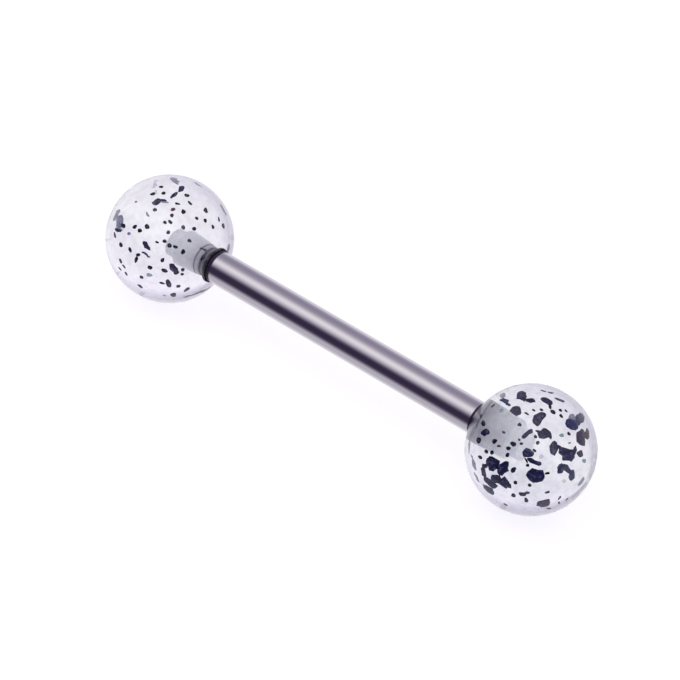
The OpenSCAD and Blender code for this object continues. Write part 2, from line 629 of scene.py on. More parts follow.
@dataclass(frozen=True)
class Studio:
    """A white sweep under a soft overhead light, and the camera at the photograph's angle."""

    aim_height: float = 3.0
    turn_deg: float = -40.57
    tilt_deg: float = 43.0
    distance: float = 315.8
    lens_mm: float = 365.6
    sensor_mm: float = 36.0
    shift_px: tuple[float, float] = (-7.59, 2.55)
    # Nearest and farthest that the camera sees
    nearest: float = 10.0
    farthest: float = 100000.0
    floor_rings: tuple[float, ...] = (60.0, 400.0, 3000.0, 20000.0)
    floor_sides: int = 64
    floor_colour: str = "#a9a8ad"
    floor_glow: str = "#fcfbff"
    floor_glow_strength: float = 0.84
    # The sweep past the floor's edge, as bright as the floor
    backdrop: str = "#e5e5e8"
    # The darkest that the light zones get as seen through the acrylic
    through_acrylic: str = "#aea8b6"
    light_strength: float = 1.25
    # Colour of the light round the bar, by the angle in degrees up from the horizon on the camera's
    # side, over the bar and down to the horizon behind it. Angles below 0 are the sweep, which
    # darkens towards the camera
    light_zones: tuple[tuple[float, str], ...] = (
        (-180, "#e6e3ec"), (-172, "#e9e6ee"), (-162, "#e4e2e8"), (-148, "#dfdee3"), (-135, "#e9e8eb"),
        (-112, "#e9e8eb"), (-96, "#e7e6e9"), (-80, "#e0dfe4"), (-66, "#cfcdd6"), (-54, "#c4c1cb"),
        (-42, "#ccc8d2"), (-33, "#c0bac7"), (-24, "#9c95a3"), (-15, "#6a6272"), (-8, "#41394e"),
        (10, "#363149"), (22, "#383049"), (30, "#4c4559"), (38, "#746f80"), (52, "#bfbbc7"),
        (66, "#eeeaf3"), (80, "#fcf8fb"), (95, "#d9d4dc"), (110, "#aaa6b4"), (135, "#958fa3"),
        (155, "#a7a1b4"), (165, "#bfb9cb"), (173, "#d2cedb"), (180, "#e6e3ec"),
    )

    def axes(self) -> tuple[Vector, Vector, Vector]:
        """Give the camera's directions.

        Returns:
            Unit vectors to the picture's right, up the picture, and from the object to the camera.
        """
        turn = math.radians(self.turn_deg)
        tilt = math.radians(self.tilt_deg)
        right = Vector((math.cos(turn), -math.sin(turn), 0))
        back = -Vector((
            math.cos(tilt) * math.sin(turn),
            math.cos(tilt) * math.cos(turn),
            -math.sin(tilt),
        ))
        return right, back.cross(right), back

    def camera_place(self) -> Vector:
        """Give the camera's place in millimetres."""
        return Vector((0, 0, self.aim_height)) + self.axes()[2] * self.distance

    def place_camera(self) -> None:
        """Create the camera and make it the scene's."""
        right, up, back = self.axes()
        lens = bpy.data.cameras.new("photo_camera")
        lens.lens = self.lens_mm
        lens.sensor_width = self.sensor_mm
        lens.clip_start = self.nearest * MM
        lens.clip_end = self.farthest * MM
        lens.shift_x, lens.shift_y = (px / IMAGE_PX for px in self.shift_px)
        camera = bpy.data.objects.new("photo_camera", lens)
        pose = Matrix((right, up, back)).transposed().to_4x4()
        pose.translation = self.camera_place() * MM
        camera.matrix_world = pose
        bpy.context.scene.collection.objects.link(camera)
        bpy.context.scene.camera = camera

    def zone_colours(self, tree: bpy.types.NodeTree) -> bpy.types.Node:
        """Add the nodes that colour the light by its angle round the bar.

        Args:
            tree: The world's node tree.

        Returns:
            The ramp that gives the colour.
        """
        direction = add_node(tree, "ShaderNodeTexCoord")
        parts = add_node(
            tree, "ShaderNodeSeparateXYZ", links={"Vector": direction.outputs["Generated"]},
        )
        toward = add_node(
            tree, "ShaderNodeMath", operation="MULTIPLY", values={1: -1.0},
            links={0: parts.outputs["Y"]},
        )
        angle = add_node(
            tree, "ShaderNodeMath", operation="ARCTAN2",
            links={0: parts.outputs["Z"], 1: toward.outputs["Value"]},
        )
        low = self.light_zones[0][0]
        high = self.light_zones[-1][0]
        share = add_node(
            tree, "ShaderNodeMapRange",
            values={"From Min": math.radians(low), "From Max": math.radians(high)},
            links={"Value": angle.outputs["Value"]},
        )
        ramp = add_node(tree, "ShaderNodeValToRGB", links={"Fac": share.outputs["Result"]})
        stops = [((degrees - low) / (high - low), colour) for degrees, colour in self.light_zones]
        fill_ramp(ramp.color_ramp, stops)
        return ramp

    def light(self) -> None:
        """Light the scene from a world whose colour runs round the bar."""
        world = bpy.data.worlds.new("soft_studio_light")
        world.use_nodes = True
        tree = world.node_tree
        zones = self.zone_colours(tree)
        ray = add_node(tree, "ShaderNodeLightPath")
        through = add_node(
            tree, "ShaderNodeMix", data_type="RGBA", blend_type="LIGHTEN",
            values={MIX_SECOND: linear(self.through_acrylic)},
            links={MIX_SHARE: ray.outputs["Is Transmission Ray"], MIX_FIRST: zones.outputs["Color"]},
        )
        behind = add_node(
            tree, "ShaderNodeMix", data_type="RGBA", values={MIX_SECOND: linear(self.backdrop)},
            links={MIX_SHARE: ray.outputs["Is Camera Ray"], MIX_FIRST: through.outputs[MIX_COLOUR]},
        )
        background = tree.nodes["Background"]
        background.inputs["Strength"].default_value = self.light_strength
        tree.links.new(behind.outputs[MIX_COLOUR], background.inputs["Color"])
        bpy.context.scene.world = world
        bpy.context.scene.view_settings.view_transform = "Standard"

    def floor_mesh(self) -> bpy.types.Mesh:
        """Build the floor's mesh: a disc in rings that widen outwards.

        Returns:
            The mesh in metres, around the origin.
        """
        shape = bmesh.new()
        middle = shape.verts.new((0, 0, 0))
        inner = []
        for radius in self.floor_rings:
            outer = [
                shape.verts.new((radius * MM * math.cos(turn), radius * MM * math.sin(turn), 0))
                for turn in angles_round(self.floor_sides)
            ]
            for side in range(self.floor_sides):
                beside = (side + 1) % self.floor_sides
                if inner:
                    shape.faces.new((inner[side], outer[side], outer[beside], inner[beside]))
                else:
                    shape.faces.new((middle, outer[side], outer[beside]))
            inner = outer
        mesh = bpy.data.meshes.new("white_sweep")
        shape.to_mesh(mesh)
        shape.free()
        return mesh

    def floor_material(self) -> bpy.types.Material:
        """Build the floor's material: matt white acrylic sheet, lit from below as on a light table.

        Returns:
            The material.
        """
        material, _, shader = new_material("opal_acrylic_sheet")
        shader.inputs["Base Color"].default_value = linear(self.floor_colour)
        shader.inputs["Roughness"].default_value = 1.0
        shader.inputs["Specular IOR Level"].default_value = 0.0
        shader.inputs["Emission Color"].default_value = linear(self.floor_glow)
        shader.inputs["Emission Strength"].default_value = self.floor_glow_strength
        return material

    def lay_floor(self) -> None:
        """Lay the pale floor that the balls rest on."""
        mesh = self.floor_mesh()
        mesh.materials.append(self.floor_material())
        floor = new_piece("white_sweep", mesh)
        # The steel and the acrylic read the light zones below the horizon instead, where the sweep
        # darkens towards the camera
        floor.visible_glossy = False
        floor.visible_transmission = False


@dataclass(frozen=True)
class SteelBar:
    """The bar: a plain shaft whose tapered ends sink into the balls, and a threaded post at each end."""

    shaft_r: float
    wear_length: float
    tip_x: float
    axis_z: float
    land_length: float = 0.22
    shoulder_taper: float = 0.04
    shoulder_length: float = 0.15
    thread_r: float = 0.6
    thread_pitch: float = 0.25
    # The wound ridge of the thread: widths of its crest and foot as shares of the pitch, its height
    # and where its middle runs above the root as shares of the thread's depth. Its foot sinks into
    # the root, so that no gap shows
    crest_share: float = 0.125
    foot_share: float = 0.9
    height_share: float = 1.2
    middle_share: float = 0.4
    thread_steps: int = 48
    sides: int = 128
    crease_deg: float = 20.0

    @property
    def rim_x(self) -> float:
        """Place of each ball's rim, where the clear length ends."""
        return self.wear_length / 2

    @property
    def thread_depth(self) -> float:
        """Depth of a metric thread of this pitch."""
        return METRIC_THREAD_DEPTH * self.thread_pitch

    def outline(self) -> list[tuple[float, float]]:
        """Give the turned blank's outline, from one tip to the other.

        Returns:
            Places along the bar and radii.
        """
        shoulder = self.rim_x + self.shoulder_length
        root = self.thread_r - self.thread_depth
        half = [
            (self.rim_x - self.land_length, self.shaft_r),
            (self.rim_x, self.shaft_r),
            (shoulder, self.shaft_r - self.shoulder_taper),
            (shoulder, root),
            (self.tip_x - self.thread_depth, root),
            (self.tip_x, root - self.thread_depth),
            (self.tip_x, 0.0),
        ]
        return [(-along, radius) for along, radius in reversed(half)] + half

    def ridge_nodes(
        self,
        tree: bpy.types.GeometryNodeTree,
        get: bpy.types.NodeOutputs,
    ) -> bpy.types.Node:
        """Add the nodes that wind one post's thread, upwards from the origin.

        Args:
            tree: Tree that gets the nodes.
            get: The tree's inputs by name.

        Returns:
            The node that gives the wound ridge.
        """
        turns = add_node(
            tree, "ShaderNodeMath", operation="DIVIDE", links={0: get["Length"], 1: get["Pitch"]},
        )
        middle = add_node(
            tree, "ShaderNodeMath", operation="MULTIPLY_ADD", values={1: self.middle_share},
            links={0: get["Depth"], 2: get["Root radius"]},
        )
        # Reversed, because the spiral is left-handed otherwise
        helix = add_node(tree, "GeometryNodeCurveSpiral", values={"Reverse": True}, links={
            "Resolution": get["Steps"],
            "Rotations": turns.outputs["Value"],
            "Start Radius": middle.outputs["Value"],
            "End Radius": middle.outputs["Value"],
            "Height": get["Length"],
        })
        upright = add_node(
            tree, "GeometryNodeSetCurveNormal", mode="Z_UP", links={"Curve": helix.outputs["Curve"]},
        )
        crest = add_node(
            tree, "ShaderNodeMath", operation="MULTIPLY", values={1: self.crest_share},
            links={0: get["Pitch"]},
        )
        foot = add_node(
            tree, "ShaderNodeMath", operation="MULTIPLY", values={1: self.foot_share},
            links={0: get["Pitch"]},
        )
        height = add_node(
            tree, "ShaderNodeMath", operation="MULTIPLY", values={1: self.height_share},
            links={0: get["Depth"]},
        )
        form = add_node(
            tree, "GeometryNodeCurvePrimitiveQuadrilateral", mode="TRAPEZOID", values={"Offset": 0.0},
            links={
                "Bottom Width": foot.outputs["Value"],
                "Top Width": crest.outputs["Value"],
                "Height": height.outputs["Value"],
            },
        )
        facing = add_node(
            tree, "GeometryNodeTransform", values={"Rotation": (0, 0, math.radians(-90))},
            links={"Geometry": form.outputs["Curve"]},
        )
        return add_node(
            tree, "GeometryNodeCurveToMesh", values={"Fill Caps": True},
            links={"Curve": upright.outputs["Curve"], "Profile Curve": facing.outputs["Geometry"]},
        )

    def thread_tree(self, material: bpy.types.Material) -> bpy.types.GeometryNodeTree:
        """Build the tree that winds a right-handed thread round each post.

        Args:
            material: Material of the thread.

        Returns:
            The Geometry Nodes tree.
        """
        tree, given, result = new_growth("wound_thread", {
            "Pitch": "NodeSocketFloat",
            "Root radius": "NodeSocketFloat",
            "Depth": "NodeSocketFloat",
            "Length": "NodeSocketFloat",
            "Start": "NodeSocketFloat",
            "Axis height": "NodeSocketFloat",
            "Steps": "NodeSocketInt",
        })
        get = given.outputs
        ridge = self.ridge_nodes(tree, get)
        place = add_node(
            tree, "ShaderNodeCombineXYZ", links={"X": get["Start"], "Z": get["Axis height"]},
        )
        right = add_node(
            tree, "GeometryNodeTransform", values={"Rotation": (0, math.radians(90), 0)},
            links={"Geometry": ridge.outputs["Mesh"], "Translation": place.outputs["Vector"]},
        )
        left = add_node(
            tree, "GeometryNodeTransform", values={"Rotation": (0, 0, math.radians(180))},
            links={"Geometry": right.outputs["Geometry"]},
        )
        both = add_node(tree, "GeometryNodeJoinGeometry")
        tree.links.new(left.outputs["Geometry"], both.inputs["Geometry"])
        tree.links.new(right.outputs["Geometry"], both.inputs["Geometry"])
        painted = add_node(
            tree, "GeometryNodeSetMaterial", values={"Material": material},
            links={"Geometry": both.outputs["Geometry"]},
        )
        whole = add_node(tree, "GeometryNodeJoinGeometry")
        tree.links.new(painted.outputs["Geometry"], whole.inputs["Geometry"])
        tree.links.new(get["Geometry"], whole.inputs["Geometry"])
        plain = add_node(
            tree, "GeometryNodeRealizeInstances", links={"Geometry": whole.outputs["Geometry"]},
        )
        tree.links.new(plain.outputs["Geometry"], result.inputs["Geometry"])
        return tree

    def build(self) -> bpy.types.Object:
        """Build the bar and put it on its body.

        Returns:
            The bar.
        """
        blank = turned("steel_bar", self.outline(), self.sides, self.crease_deg)
        blank.transform(Matrix.Translation((0, 0, self.axis_z * MM)))
        for finish in (PolishedSteel(), CutSteel(), PaintedShadeLandSteel()):
            blank.materials.append(finish.material())
        cut_slot = 1
        shaded_land_slot = 2
        for face in blank.polygons:
            if abs(face.center.x) > (self.rim_x + self.shoulder_length) * MM:
                face.material_index = cut_slot
            # The land and the tapered shoulder get the near-black steel, as painted shade where the
            # shaft goes into the ball
            elif abs(face.center.x) > (self.rim_x - self.land_length) * MM:
                face.material_index = shaded_land_slot
        piece = new_piece("steel_bar", blank)
        start = self.rim_x + self.shoulder_length + self.thread_pitch / 2
        grow(piece, self.thread_tree(blank.materials[cut_slot]), {
            "Pitch": self.thread_pitch * MM,
            "Root radius": (self.thread_r - self.thread_depth) * MM,
            "Depth": self.thread_depth * MM,
            "Length": (self.tip_x - self.thread_pitch - start) * MM,
            "Start": start * MM,
            "Axis height": self.axis_z * MM,
            "Steps": self.thread_steps,
        })
        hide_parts("bar")
        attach(piece, "bar")
        return piece


@dataclass(frozen=True)
class Flake:
    """One flake as it shows in the picture, in millimetres from the ball's middle.

    along runs with the pictured bar towards the right ball, and up at right angles to it. turn is the
    long side's angle from the bar in degrees, anticlockwise. A flake without a tint of its own is black.
    """

    along: float
    up: float
    long: float = 0.2
    wide: float = 0.2
    turn: float = 0.0
    tint: Tint | None = None


# The fine glitter as it was read from the photograph: round specks, then chips and clumps
FINE_GLITTER = (
    Flake(-1.56, 1.87, 0.22, 0.18, 20),
    Flake(-1.31, 1.68),
    Flake(-1.73, 1.41, 0.24, 0.22),
    Flake(-1.27, 0.8, 0.24, 0.2, 15),
    Flake(-0.33, 2.12, 0.24, 0.18),
    Flake(-0.04, 1.91, 0.26, 0.13, -12),
    Flake(-0.5, 1.57, 0.28, 0.15, 10),
    Flake(-0.08, 1.41, 0.3, 0.2, -25),
    Flake(-0.56, 1.25, 0.2, 0.2, 0, Tint.RUST),
    Flake(0.78, 1.97, 0.28, 0.24, -20),
    Flake(0.59, 1.44, 0.22, 0.16, 10),
    Flake(0.98, 1.55, 0.2, 0.2),
    Flake(1.44, 1.48, 0.24, 0.14, -60),
    Flake(1.51, 1.92, 0.28, 0.12, -55),
    Flake(1.84, 1.76, 0.26, 0.26),
    Flake(-0.47, 0.98, 0.24, 0.18),
    Flake(-0.38, 0.69, 0.26, 0.14, -20),
    Flake(-0.56, 0.53, 0.2, 0.16),
    Flake(0.26, 0.77, 0.22, 0.19),
    Flake(0.74, 0.96, 0.2, 0.18, 30),
    Flake(-0.22, 0.23, 0.2, 0.2),
    Flake(0.83, 0.37, 0.24, 0.16, 10),
    Flake(-1.19, -0.04, 0.23, 0.23),
    Flake(-1.69, -0.34, 0.22, 0.22),
    Flake(-1.38, -0.38, 0.21, 0.21),
    Flake(-2.13, -0.54, 0.22, 0.18),
    Flake(-0.15, -0.23, 0.2, 0.17),
    Flake(0.14, -0.29, 0.25, 0.23),
    Flake(0.42, -0.2, 0.25, 0.2, 20),
    Flake(0.81, -0.21, 0.23, 0.23),
    Flake(-0.42, -0.43, 0.22, 0.12, 15),
    Flake(0.2, -1.02, 0.28, 0.2, 80),
    Flake(1.24, -0.93, 0.2, 0.2),
    Flake(1.32, -1.14, 0.19, 0.15, 20),
    Flake(-1.81, -1.39, 0.28, 0.2, -45),
    Flake(-1.33, -1.36, 0.28, 0.16, -35),
    Flake(-0.11, -1.62, 0.23, 0.2, 20),
    Flake(1.45, -1.69, 0.2, 0.17),
    Flake(1.85, -1.65, 0.32, 0.2, 75),
    Flake(1.45, -2.17, 0.3, 0.27),
    Flake(-0.24, -2.2, 0.2, 0.2),
    Flake(-0.94, -2.41, 0.22, 0.15, -40, Tint.STEEL),
    Flake(-1.74, -0.76, 0.22, 0.12, 15, Tint.VIOLET),
    Flake(-2.22, 0.68, 0.16, 0.1, 20, Tint.VIOLET),
    Flake(-1.38, 1.17, 0.36, 0.26, 60),
    Flake(-1.22, 1.33, 0.42, 0.16, 32),
    Flake(-1.06, 1.33, 0.34, 0.16, 20, Tint.MIST),
    Flake(-0.71, 2.26, 0.4, 0.24, 90),
    Flake(-0.85, 1.83, 0.38, 0.18, 88),
    Flake(-1.16, 2.45, 0.58, 0.28, -40, Tint.MIST),
    Flake(-1.89, 1.89, 0.62, 0.14, -58, Tint.HAZE),
    Flake(-1.66, 1.55, 0.3, 0.14, -50, Tint.HAZE),
    Flake(-2.7, -0.32, 0.52, 0.3, 84, Tint.MIST),
    Flake(-2.45, -0.47, 0.6, 0.44, -30, Tint.MIST),
    Flake(-2.3, -0.66, 0.5, 0.22, 12, Tint.HAZE),
    Flake(-2.22, -0.57, 0.24, 0.18, 10, Tint.STEEL),
    Flake(-2.28, -0.84, 0.36, 0.16, 20, Tint.BLUE),
    Flake(-2.29, -1.12, 0.3, 0.12, -40, Tint.PLUM),
    Flake(-0.75, -0.82, 0.46, 0.16, -20, Tint.PLUM),
    Flake(-0.58, -1.17, 0.36, 0.1, 8, Tint.STEEL),
    Flake(0.84, -1.09, 0.42, 0.26, -10, Tint.PLUM),
    Flake(1.04, -1.19, 0.3, 0.24, 40),
    Flake(0.53, -1.39, 0.32, 0.18, 5),
    Flake(-0.88, -1.37, 0.22, 0.16, 30),
    Flake(-0.86, -1.62, 0.34, 0.18, -70),
    Flake(1, -1.83, 0.36, 0.2, -50),
    Flake(0.72, -1.96, 0.28, 0.13, 25),
    Flake(-1.43, -2.06, 0.28, 0.2, -15),
    Flake(-1.19, -2.17, 0.26, 0.1, -25),
    Flake(-1.29, -2.37, 0.25, 0.12),
    Flake(-0.07, -2.59, 0.3, 0.15, -5),
    Flake(-0.13, 2.83, 0.42, 0.12, 0, Tint.MIST),
    Flake(1.46, 2.43, 0.6, 0.16, -42, Tint.MIST),
    Flake(2.22, -1.7, 0.8, 0.13, 42, Tint.STEEL),
    Flake(2.63, -1.2, 0.6, 0.14, 60, Tint.STEEL),
    Flake(2.58, 0.98, 0.4, 0.16, -65, Tint.MIST),
    Flake(1.75, 0.02, 0.32, 0.22, 60),
    Flake(-1.44, 0.46, 0.3, 0.12, -25, Tint.MIST),
    Flake(0.03, -1.92, 0.28, 0.22, 40, Tint.SEA),
    Flake(1.56, 0.35, 0.36, 0.12, 18, Tint.RUST),
    Flake(1.12, -2.38, 0.22, 0.08, 5, Tint.MIST),
)

# The coarse glitter, read the same way: chips and clumps, then specks
COARSE_GLITTER = (
    Flake(-1.6, 1.88, 0.66, 0.36, -38, Tint.PLUM),
    Flake(-1.13, 1.9, 0.42, 0.2, 22),
    Flake(-0.53, 2.24, 0.52, 0.32, -8),
    Flake(-0.25, 2.1, 0.32, 0.13, -35),
    Flake(0.01, 1.94, 0.3, 0.22, -40),
    Flake(-0.39, 1.4, 0.66, 0.34, 82, Tint.PLUM),
    Flake(-0.5, 1.78, 0.2, 0.14, 0),
    Flake(-1.47, 1.17, 0.46, 0.38, -10, Tint.PLUM),
    Flake(0.21, 0.92, 0.56, 0.44, 20),
    Flake(-0.1, 0.89, 0.34, 0.14, 5),
    Flake(0.83, 0.6, 0.5, 0.36, -60),
    Flake(1.01, 0.72, 0.3, 0.2, 0),
    Flake(1.46, 0.66, 0.7, 0.42, 8),
    Flake(1.69, 0.9, 0.5, 0.2, 105),
    Flake(1.98, 0.95, 0.36, 0.24, 0),
    Flake(1.21, 2.34, 0.56, 0.34, 62, Tint.STEEL),
    Flake(1.01, 1.92, 0.54, 0.46, 30, Tint.BLUE),
    Flake(0.85, 2.14, 0.5, 0.26, 82, Tint.MIST),
    Flake(1.15, 2.12, 0.5, 0.34, 80, Tint.STEEL),
    Flake(1.66, 1.62, 0.72, 0.46, 115, Tint.PLUM),
    Flake(1.79, 1.88, 0.46, 0.34, 70, Tint.RUST),
    Flake(-0.05, -0.22, 0.4, 0.34, 18),
    Flake(0.41, -0.4, 0.6, 0.2, 14),
    Flake(0.75, -0.9, 0.7, 0.5, 10),
    Flake(1.15, -0.55, 0.26, 0.14, 30),
    Flake(1.57, -0.06, 0.36, 0.28, -60),
    Flake(1.85, 0.08, 0.46, 0.22, -10, Tint.BLUE),
    Flake(2.15, -0.1, 0.44, 0.28, -62, Tint.BLUE),
    Flake(2.65, -0.1, 0.36, 0.2, 85, Tint.MIST),
    Flake(1.66, -1.82, 0.56, 0.42, 35, Tint.PLUM),
    Flake(2.01, -1.88, 0.26, 0.14, 0),
    Flake(-1.17, -1.4, 0.6, 0.54, 0),
    Flake(-0.64, -1.34, 0.66, 0.36, 82),
    Flake(-0.27, -1.88, 0.52, 0.42, 0),
    Flake(-0.71, -1.92, 0.46, 0.4, 40),
    Flake(-0.83, -2.22, 0.62, 0.34, 5),
    Flake(-1.35, -1.9, 0.58, 0.26, -62),
    Flake(-1.39, -1.66, 0.26, 0.2, 30),
    Flake(-0.79, -2.5, 0.6, 0.34, -5, Tint.STEEL),
    Flake(-0.5, 0.53, 0.44, 0.18, 80),
    Flake(-2.17, -0.36, 0.4, 0.26, 25),
    Flake(-2.25, -0.8, 0.3, 0.26),
    Flake(-2.45, -0.06, 0.34, 0.26, -30),
    Flake(-2.71, 0.16, 0.24, 0.14, -50),
    Flake(-2.17, 1.3, 0.56, 0.22, -12, Tint.STEEL),
    Flake(-2.33, 1.46, 0.4, 0.2, -35, Tint.MIST),
    Flake(-1.91, 1.24, 0.34, 0.14, -15, Tint.STEEL),
    Flake(-2.49, 0.84, 0.24, 0.12, 80),
    Flake(-0.23, -1.18, 0.34, 0.22, 70),
    Flake(0.65, -1.93, 0.36, 0.2, 20),
    Flake(0.83, -1.74, 0.22, 0.15, 20),
    Flake(0.36, -2.16, 0.25, 0.22),
    Flake(0.95, -2.07, 0.32, 0.15, -50),
    Flake(-0.83, -0.17, 0.28, 0.22, 20),
    Flake(-0.8, -0.74, 0.22, 0.22),
    Flake(-0.92, -0.47, 0.22, 0.2),
    Flake(-1.6, -0.5, 0.27, 0.25, 60),
    Flake(-1.32, -0.6, 0.24, 0.1, 20, Tint.RUST),
    Flake(-1.69, -1.07, 0.2, 0.19),
    Flake(-1.45, -0.99, 0.2, 0.2),
    Flake(-1.8, -1.45, 0.26, 0.17),
    Flake(0.14, -1.62, 0.19, 0.19),
    Flake(0.73, -1.39, 0.19, 0.17),
    Flake(0.24, -2.71, 0.26, 0.14),
    Flake(1.57, -1.27, 0.26, 0.15, 45),
    Flake(2.19, -1.22, 0.26, 0.12, 100),
    Flake(2.28, -1.42, 0.2, 0.12, -40),
    Flake(2.5, -1.12, 0.2, 0.12, 90),
    Flake(-1.01, 0.7, 0.22, 0.16),
    Flake(-0.8, 1.59, 0.2, 0.1),
    Flake(-1.01, 1.27, 0.26, 0.12, 0, Tint.PLUM),
    Flake(-1.46, 0.05, 0.24, 0.13, 0, Tint.PLUM),
    Flake(-0.69, 0.12, 0.14, 0.12),
    Flake(-0.51, 0.02, 0.16, 0.12, 40),
    Flake(0.09, 0.41, 0.22, 0.15, 70),
    Flake(-0.12, 0.59, 0.18, 0.16),
    Flake(0.13, 0.05, 0.2, 0.14),
    Flake(0.03, -0.53, 0.28, 0.12, -28),
    Flake(0.21, -0.68, 0.2, 0.16, -20),
    Flake(1.1, 1.47, 0.22, 0.17, -20),
    Flake(0.24, 2.18, 0.18, 0.13),
    Flake(0.4, 2, 0.22, 0.16, -20),
    Flake(0.47, 2.3, 0.2, 0.1, -15, Tint.STEEL),
    Flake(0.83, 1.25, 0.28, 0.15, 30, Tint.SEA),
    Flake(1.33, 1.12, 0.18, 0.1, 60, Tint.SEA),
    Flake(-0.03, 2.58, 0.4, 0.12, 8, Tint.STEEL),
    Flake(-0.87, 2.56, 0.34, 0.12, 14),
    Flake(-0.52, 2.66, 0.34, 0.12, 18),
    Flake(-1.9, -1.86, 0.5, 0.18, -48, Tint.MIST),
    Flake(-2.15, -1.6, 0.2, 0.1, -30, Tint.MIST),
    Flake(-2.5, -1.2, 0.6, 0.14, -64, Tint.MIST),
    Flake(-2.7, -0.62, 0.5, 0.2, -78, Tint.MIST),
    Flake(-1.52, -2.28, 0.4, 0.15, -32, Tint.MIST),
    Flake(-2.02, 0.85, 0.22, 0.18, 20, Tint.SEA),
    Flake(2.3, 0.78, 0.24, 0.18, 20, Tint.SEA),
    Flake(1.97, -0.47, 0.22, 0.16, 10, Tint.HAZE),
    Flake(0.55, -0.03, 0.24, 0.16, 60, Tint.HAZE),
)


# Painted light of the tapped wall by its depth, though the wall is no lamp: even in the left ball, with
# dark gaps of painted shade at the grooves, and rising in the right one, whose hole melts into the clear
# acrylic near the ball's middle
LEFT_PAINTED_LIGHT = (
    (0.0, "#000000"), (0.2, "#0c0c0e"), (0.4, "#3a3b3e"), (0.45, "#060607"), (0.56, "#060607"),
    (0.62, "#54555a"), (0.8, "#5c5d62"), (0.84, "#2c2c30"), (0.9, "#2c2c30"), (0.96, "#66676b"),
    (2.45, "#66676b"),
)
RIGHT_PAINTED_LIGHT = (
    (0.0, "#000000"), (0.5, "#060606"), (1.0, "#28282a"), (1.4, "#58595c"), (1.8, "#66676a"),
    (2.1, "#7f8084"), (2.45, "#828387"),
)


@dataclass(frozen=True)
class AcrylicBall:
    """A clear ball with a recess for the shaft's end and a blind tapped hole behind it."""

    name: str
    side: Side
    slot: str
    radius: float
    centre_x: float
    axis_z: float
    rim_x: float
    cast: CastAcrylic
    # Painted light of the tapped wall, by depth
    hole_painted_light: tuple[tuple[float, str], ...]
    # Depths are measured from the recess's rim
    recess_r: float = 0.85
    recess_depth: float = 0.2
    hole_r: float = 0.63
    hole_depth: float = 2.2
    core_r: float = 0.475
    core_length: float = 0.45
    lead_length: float = 0.15
    sides: int = 192
    arc_steps: int = 120
    crease_deg: float = 40.0
    # Slack in telling by their middles which faces belong to the hole and to the recess
    face_slack: float = 0.01

    @property
    def recess_x(self) -> float:
        """Distance of the recess's bottom from the bar's middle."""
        return self.rim_x + self.recess_depth

    @property
    def bottom_x(self) -> float:
        """Distance of the hole's bottom from the bar's middle."""
        return self.rim_x + self.hole_depth + self.core_length

    @property
    def middle(self) -> Vector:
        """The ball's middle."""
        return Vector((self.centre_x * self.side.value, 0, self.axis_z))

    def outline(self) -> list[tuple[float, float]]:
        """Give the outline from the bottom of the hole, out of the mouth and round to the pole.

        Returns:
            Distances from the bar's middle, and radii.
        """
        threaded_x = self.rim_x + self.hole_depth
        wall = [
            (self.bottom_x, 0.0),
            (self.bottom_x, self.core_r),
            (threaded_x + self.lead_length, self.core_r),
            (threaded_x, self.hole_r),
            (self.recess_x, self.hole_r),
            (self.recess_x, self.recess_r),
            (self.rim_x, self.recess_r),
        ]
        mouth = math.asin(self.recess_r / self.radius)
        step = (math.pi - mouth) / self.arc_steps
        angles = [mouth + step * i for i in range(1, self.arc_steps)]
        arc = [
            (self.centre_x - self.radius * math.cos(angle), self.radius * math.sin(angle))
            for angle in angles
        ]
        return wall + arc + [(self.centre_x + self.radius, 0.0)]

    def paint(self, mesh: bpy.types.Mesh) -> None:
        """Give the outside, the tapped hole and the recess their materials.

        Args:
            mesh: The ball's mesh, in place.
        """
        tapped = TappedAcrylic(self.recess_x, self.bottom_x, self.hole_painted_light)
        for finish in (self.cast, tapped, RecessPaintedShade()):
            mesh.materials.append(finish.material())
        hole_slot = 1
        recess_slot = 2
        inside = (self.hole_r + self.face_slack) * MM
        beside = (self.recess_r + self.face_slack) * MM
        for face in mesh.polygons:
            along = abs(face.center.x)
            across = math.hypot(face.center.y, face.center.z - self.axis_z * MM)
            in_hole = self.recess_x * MM < along < (self.bottom_x + self.face_slack) * MM
            if across < inside and in_hole:
                face.material_index = hole_slot
            elif across < beside and along < (self.recess_x + self.face_slack) * MM:
                face.material_index = recess_slot

    def build(self) -> bpy.types.Object:
        """Build the ball and put it on its body.

        Returns:
            The ball.
        """
        outline = [(along * self.side.value, across) for along, across in self.outline()]
        mesh = turned(self.name, outline, self.sides, self.crease_deg)
        mesh.transform(Matrix.Translation((0, 0, self.axis_z * MM)))
        self.paint(mesh)
        piece = new_piece(self.name, mesh)
        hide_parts(self.name.removesuffix("_acrylic"))
        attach(piece, self.name.removesuffix("_acrylic"))
        return piece


